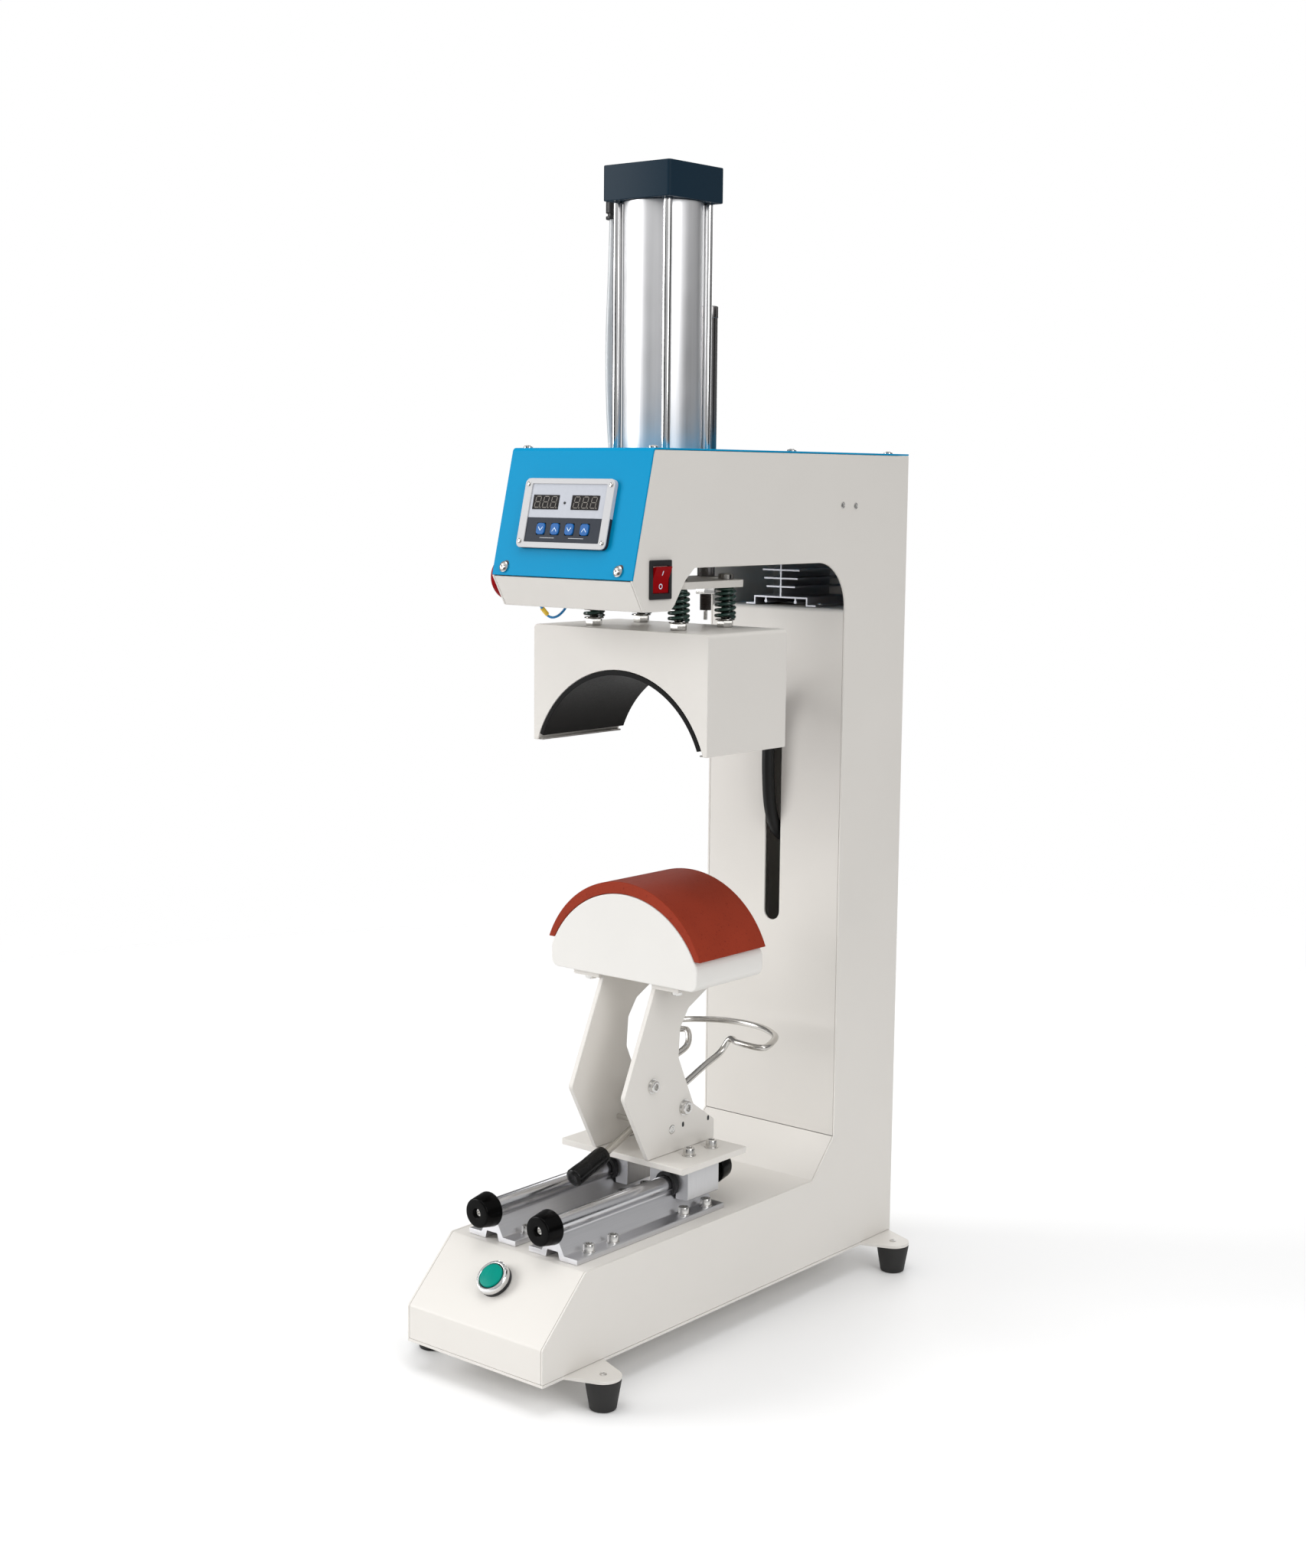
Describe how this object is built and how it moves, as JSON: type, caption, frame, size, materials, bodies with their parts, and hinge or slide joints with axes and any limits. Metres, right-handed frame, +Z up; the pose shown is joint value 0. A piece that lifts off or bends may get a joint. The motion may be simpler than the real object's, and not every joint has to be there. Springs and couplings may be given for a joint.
{
  "type": "cap heat press",
  "caption": "Pneumatic bench heat press for caps: C-shaped body, air cylinder on the arm, sprung curved heater, padded platen on a sliding stand, slanted controller.",
  "frame": {"origin": "centre of the footprint on the floor, under the four feet", "axes": "+Z up, +X to the operator's right, -Y to the operator"},
  "size_m": [0.236, 0.5176, 1.0475],
  "materials": {
    "cream_paint": "fine textured powder coat",
    "blue_paint": "satin powder coat",
    "panel_plastic": "moulded frame with a dark display panel",
    "zinc_steel": "zinc plated",
    "chrome_trim": "polished",
    "chrome_rod": "ground and polished",
    "navy_cast": "dark blue enamel",
    "aluminium_tube": "satin anodised tube",
    "aluminium_raw": "mill finish",
    "aluminium_block": "fine blasted",
    "black_coating": "black non-stick coating",
    "platen_paint": "off-white heat resistant paint",
    "bumper_rubber": "glossy moulded",
    "silicone_red": "matt foam rubber",
    "foot_rubber": "matt",
    "grip_rubber": "soft dipped",
    "cable_rubber": "matt",
    "hose_plastic": "translucent polyurethane tube",
    "black_plastic": "fine grain",
    "key_plastic": "soft touch",
    "red_plastic": "moulded",
    "green_plastic": "moulded",
    "spring_enamel": "dark green enamel"
  },
  "bodies": {
    "frame": {"side_panel_left": "cream_paint", "side_panel_right": "cream_paint", "base_deck": "cream_paint", "post_front_plate": "cream_paint", "rear_cover": "cream_paint", "bottom_plate": "cream_paint", "foot_front_left": "foot_rubber", "foot_front_right": "foot_rubber", "foot_rear_left": "foot_rubber", "foot_rear_right": "foot_rubber", "head_cover": "blue_paint", "chin_plate": "cream_paint", "cylinder_mount_plate": "zinc_steel", "controller_housing": "panel_plastic", "rocker_housing": "black_plastic", "estop_base": "black_plastic", "start_button_bezel": "chrome_trim", "cylinder_bottom_cap": "navy_cast", "cylinder_barrel": "aluminium_tube", "cylinder_top_cap": "navy_cast", "tie_rod_front_left": "zinc_steel", "tie_rod_rear_left": "zinc_steel", "tie_rod_front_right": "zinc_steel", "tie_rod_rear_right": "zinc_steel", "air_fitting": "black_plastic", "air_hose": "hose_plastic", "heatsink": "aluminium_raw", "rail_left": "aluminium_raw", "rail_right": "aluminium_raw", "bumper_front_left": "bumper_rubber", "bumper_front_right": "bumper_rubber", "bumper_rear_left": "bumper_rubber", "bumper_rear_right": "bumper_rubber", "heater_cable": "cable_rubber"},
    "head": {"pressure_plate": "cream_paint", "piston_rod": "chrome_rod", "guide_rod": "chrome_rod", "spring_front_left": "spring_enamel", "spring_rear_left": "spring_enamel", "spring_front_right": "spring_enamel", "spring_rear_right": "spring_enamel"},
    "heated_platen": {"heater_cover": "cream_paint", "heater_element": "black_coating"},
    "stand": {"carriage_block_left": "aluminium_block", "carriage_block_right": "aluminium_block", "stand_base_plate": "cream_paint", "stand_side_plate_left": "cream_paint", "stand_side_plate_right": "cream_paint", "lower_platen": "platen_paint", "silicone_pad": "silicone_red"},
    "lever_arm": {"lever": "zinc_steel", "lever_grip": "grip_rubber", "wire_holder": "zinc_steel"},
    "rocker_body": {"rocker": "red_plastic"},
    "estop_body": {"estop_head": "red_plastic"},
    "start_body": {"start_button_cap": "green_plastic"},
    "key_menu_body": {"key_menu": "key_plastic"},
    "key_left_body": {"key_left": "key_plastic"},
    "key_right_body": {"key_right": "key_plastic"},
    "key_power_body": {"key_power": "key_plastic"}
  },
  "joints": [
    {"name": "head_slide", "type": "slide", "parent": "frame", "child": "head", "axis": [0, 0, -1], "range_m": [0, 0.1855], "deforming": ["heater_cable"]},
    {"name": "platen_float", "type": "slide", "parent": "head", "child": "heated_platen", "axis": [0, 0, 1], "range_m": [0, 0.006], "stiffness_N_per_m": 20000, "springref_m": -0.003, "deforming": ["spring_front_left", "spring_rear_left", "spring_front_right", "spring_rear_right"]},
    {"name": "stand_slide", "type": "slide", "parent": "frame", "child": "stand", "axis": [0, 1, 0], "range_m": [-0.15, 0.01]},
    {"name": "lever_hinge", "type": "hinge", "parent": "stand", "child": "lever_arm", "pos_m": [0, -0.0168, 0.2072], "axis": [1, 0, 0], "range_deg": [-30, 6]},
    {"name": "rocker_tip", "type": "hinge", "parent": "frame", "child": "rocker_body", "pos_m": [0.0823, -0.1163, 0.6935], "axis": [0, 1, 0], "range_deg": [-24, 0]},
    {"name": "estop_push", "type": "slide", "parent": "frame", "child": "estop_body", "axis": [1, 0, 0], "range_m": [0, 0.004]},
    {"name": "start_push", "type": "slide", "parent": "frame", "child": "start_body", "axis": [0, 0.6998, -0.7143], "range_m": [0, 0.0035], "stiffness_N_per_m": 600, "springref_m": -0.003},
    {"name": "key_menu_push", "type": "slide", "parent": "frame", "child": "key_menu_body", "axis": [0, 0.9711, -0.2388], "range_m": [0, 0.0008], "stiffness_N_per_m": 800, "springref_m": -0.0005},
    {"name": "key_left_push", "type": "slide", "parent": "frame", "child": "key_left_body", "axis": [0, 0.9711, -0.2388], "range_m": [0, 0.0008], "stiffness_N_per_m": 800, "springref_m": -0.0005},
    {"name": "key_right_push", "type": "slide", "parent": "frame", "child": "key_right_body", "axis": [0, 0.9711, -0.2388], "range_m": [0, 0.0008], "stiffness_N_per_m": 800, "springref_m": -0.0005},
    {"name": "key_power_push", "type": "slide", "parent": "frame", "child": "key_power_body", "axis": [0, 0.9711, -0.2388], "range_m": [0, 0.0008], "stiffness_N_per_m": 800, "springref_m": -0.0005}
  ]
}
